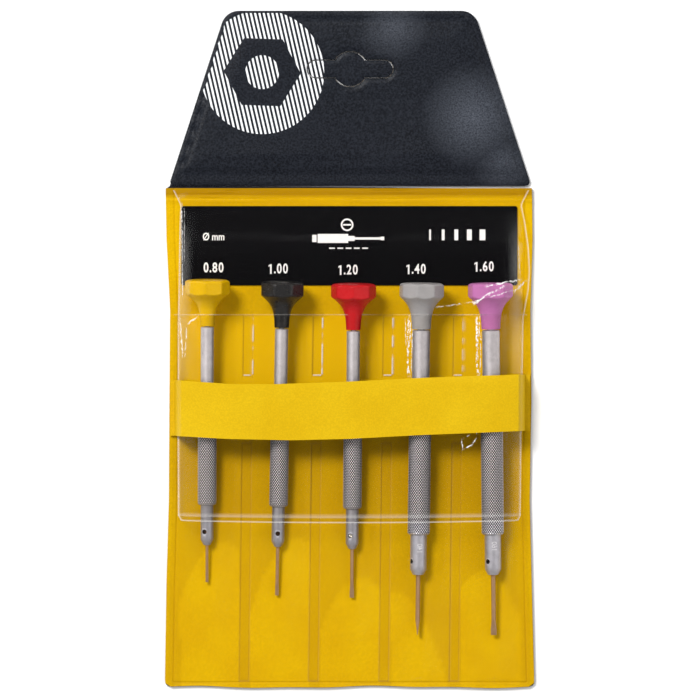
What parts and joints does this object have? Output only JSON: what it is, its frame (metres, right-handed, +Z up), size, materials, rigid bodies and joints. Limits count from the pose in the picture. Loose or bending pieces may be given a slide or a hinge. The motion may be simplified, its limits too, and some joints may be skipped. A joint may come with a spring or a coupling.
{
  "type": "precision screwdriver set",
  "caption": "Watchmaker's screwdrivers with swivel heads, knurled handles and clamped blades, in a flat welded vinyl pouch with clear pockets, a cover flap and a hanging header.",
  "frame": {"origin": "centre of the pouch's footprint, on the surface it lies on", "axes": "+Y from the pouch's bottom edge to its hanging header, +X to the right seen from the front, +Z up through the layers"},
  "size_m": [0.102, 0.1886, 0.0165],
  "materials": {
    "black_vinyl": "grained vinyl",
    "yellow_vinyl": "fine grained vinyl",
    "label_card": "printed card, satin",
    "clear_film": "clear, wrinkled",
    "stiffener_board": "plain board",
    "handle_metal": "satin, diamond knurled grip",
    "spindle_steel": "turned",
    "bush_brass": "turned",
    "screw_steel": "turned, slotted",
    "blade_steel": "ground",
    "head_080": "satin moulded plastic",
    "head_100": "satin moulded plastic",
    "head_120": "satin moulded plastic",
    "head_140": "satin moulded plastic",
    "head_160": "satin moulded plastic"
  },
  "bodies": {
    "pouch": {"back_cover": "black_vinyl", "yellow_liner": "yellow_vinyl", "label_card": "label_card", "pocket_film": "clear_film", "retaining_band": "yellow_vinyl"},
    "header": {"header_back": "black_vinyl", "header_stiffener": "stiffener_board", "header_front": "black_vinyl", "hang_slot_slug": "black_vinyl"},
    "cover": {"clear_cover": "clear_film"},
    "driver_080": {"driver_080_handle": "handle_metal", "driver_080_spindle": "spindle_steel"},
    "driver_080_swivel": {"driver_080_head": "head_080", "driver_080_bush": "bush_brass"},
    "driver_080_clamp": {"driver_080_grub_screw": "screw_steel"},
    "driver_080_bit": {"driver_080_blade": "blade_steel"},
    "driver_100": {"driver_100_handle": "handle_metal", "driver_100_spindle": "spindle_steel"},
    "driver_100_swivel": {"driver_100_head": "head_100", "driver_100_bush": "bush_brass"},
    "driver_100_clamp": {"driver_100_grub_screw": "screw_steel"},
    "driver_100_bit": {"driver_100_blade": "blade_steel"},
    "driver_120": {"driver_120_handle": "handle_metal", "driver_120_spindle": "spindle_steel"},
    "driver_120_swivel": {"driver_120_head": "head_120", "driver_120_bush": "bush_brass"},
    "driver_120_clamp": {"driver_120_grub_screw": "screw_steel"},
    "driver_120_bit": {"driver_120_blade": "blade_steel"},
    "driver_140": {"driver_140_handle": "handle_metal", "driver_140_spindle": "spindle_steel"},
    "driver_140_swivel": {"driver_140_head": "head_140", "driver_140_bush": "bush_brass"},
    "driver_140_clamp": {"driver_140_grub_screw": "screw_steel"},
    "driver_140_bit": {"driver_140_blade": "blade_steel"},
    "driver_160": {"driver_160_handle": "handle_metal", "driver_160_spindle": "spindle_steel"},
    "driver_160_swivel": {"driver_160_head": "head_160", "driver_160_bush": "bush_brass"},
    "driver_160_clamp": {"driver_160_grub_screw": "screw_steel"},
    "driver_160_bit": {"driver_160_blade": "blade_steel"}
  },
  "joints": [
    {"name": "header_fold", "type": "hinge", "parent": "pouch", "child": "header", "pos_m": [0, 0.0453, 0.00115], "axis": [-1, 0, 0], "range_deg": [-135, 0]},
    {"name": "cover_fold", "type": "hinge", "parent": "pouch", "child": "cover", "pos_m": [0, 0.0438, 0.0013], "axis": [-1, 0, 0], "range_deg": [0, 120], "deforming": ["clear_cover"]},
    {"name": "driver_080_slide", "type": "slide", "parent": "pouch", "child": "driver_080", "axis": [0.0024, 0.9976, 0.0696], "range_m": [0, 0.008]},
    {"name": "driver_080_head_spin", "type": "hinge", "parent": "driver_080", "child": "driver_080_swivel", "pos_m": [-0.03954, 0.0194, 0.0084], "axis": [0.0024, 0.9976, 0.0696], "continuous": true},
    {"name": "driver_080_screw_turn", "type": "hinge", "parent": "driver_080", "child": "driver_080_clamp", "pos_m": [-0.03971, -0.05038, 0.00353], "axis": [-0.4228, -0.0621, 0.9041], "range_deg": [0, 720]},
    {"name": "driver_080_blade_slide", "type": "slide", "parent": "driver_080", "child": "driver_080_bit", "axis": [-0.0024, -0.9976, -0.0696], "range_m": [0, 0.0105]},
    {"name": "driver_100_slide", "type": "slide", "parent": "pouch", "child": "driver_100", "axis": [0.0183, 0.9974, 0.0696], "range_m": [0, 0.008]},
    {"name": "driver_100_head_spin", "type": "hinge", "parent": "driver_100", "child": "driver_100_swivel", "pos_m": [-0.01872, 0.0189, 0.0084], "axis": [0.0183, 0.9974, 0.0696], "continuous": true},
    {"name": "driver_100_screw_turn", "type": "hinge", "parent": "driver_100", "child": "driver_100_clamp", "pos_m": [-0.02, -0.05087, 0.00353], "axis": [-0.0362, -0.0689, 0.997], "range_deg": [0, 720]},
    {"name": "driver_100_blade_slide", "type": "slide", "parent": "driver_100", "child": "driver_100_bit", "axis": [-0.0183, -0.9974, -0.0696], "range_m": [0, 0.0105]},
    {"name": "driver_120_slide", "type": "slide", "parent": "pouch", "child": "driver_120", "axis": [0.0057, 0.9976, 0.0696], "range_m": [0, 0.008]},
    {"name": "driver_120_head_spin", "type": "hinge", "parent": "driver_120", "child": "driver_120_swivel", "pos_m": [0.001, 0.0183, 0.0084], "axis": [0.0057, 0.9976, 0.0696], "continuous": true},
    {"name": "driver_120_screw_turn", "type": "hinge", "parent": "driver_120", "child": "driver_120_clamp", "pos_m": [0.0006, -0.05148, 0.00353], "axis": [-0.3094, -0.0644, 0.9488], "range_deg": [0, 720]},
    {"name": "driver_120_blade_slide", "type": "slide", "parent": "driver_120", "child": "driver_120_bit", "axis": [-0.0057, -0.9976, -0.0696], "range_m": [0, 0.0105]},
    {"name": "driver_140_slide", "type": "slide", "parent": "pouch", "child": "driver_140", "axis": [0.0123, 0.9984, 0.0552], "range_m": [0, 0.008]},
    {"name": "driver_140_head_spin", "type": "hinge", "parent": "driver_140", "child": "driver_140_swivel", "pos_m": [0.01992, 0.0185, 0.0084], "axis": [0.0123, 0.9984, 0.0552], "continuous": true},
    {"name": "driver_140_screw_turn", "type": "hinge", "parent": "driver_140", "child": "driver_140_clamp", "pos_m": [0.01897, -0.05863, 0.00414], "axis": [-0.8663, -0.0169, 0.4992], "range_deg": [0, 720]},
    {"name": "driver_140_blade_slide", "type": "slide", "parent": "driver_140", "child": "driver_140_bit", "axis": [-0.0123, -0.9984, -0.0552], "range_m": [0, 0.0105]},
    {"name": "driver_160_slide", "type": "slide", "parent": "pouch", "child": "driver_160", "axis": [-0.0102, 0.9984, 0.0552], "range_m": [0, 0.008]},
    {"name": "driver_160_head_spin", "type": "hinge", "parent": "driver_160", "child": "driver_160_swivel", "pos_m": [0.03894, 0.0185, 0.0084], "axis": [-0.0102, 0.9984, 0.0552], "continuous": true},
    {"name": "driver_160_screw_turn", "type": "hinge", "parent": "driver_160", "child": "driver_160_clamp", "pos_m": [0.03973, -0.05863, 0.00414], "axis": [-0.6687, -0.0478, 0.742], "range_deg": [0, 720]},
    {"name": "driver_160_blade_slide", "type": "slide", "parent": "driver_160", "child": "driver_160_bit", "axis": [0.0102, -0.9984, -0.0552], "range_m": [0, 0.0105]}
  ]
}
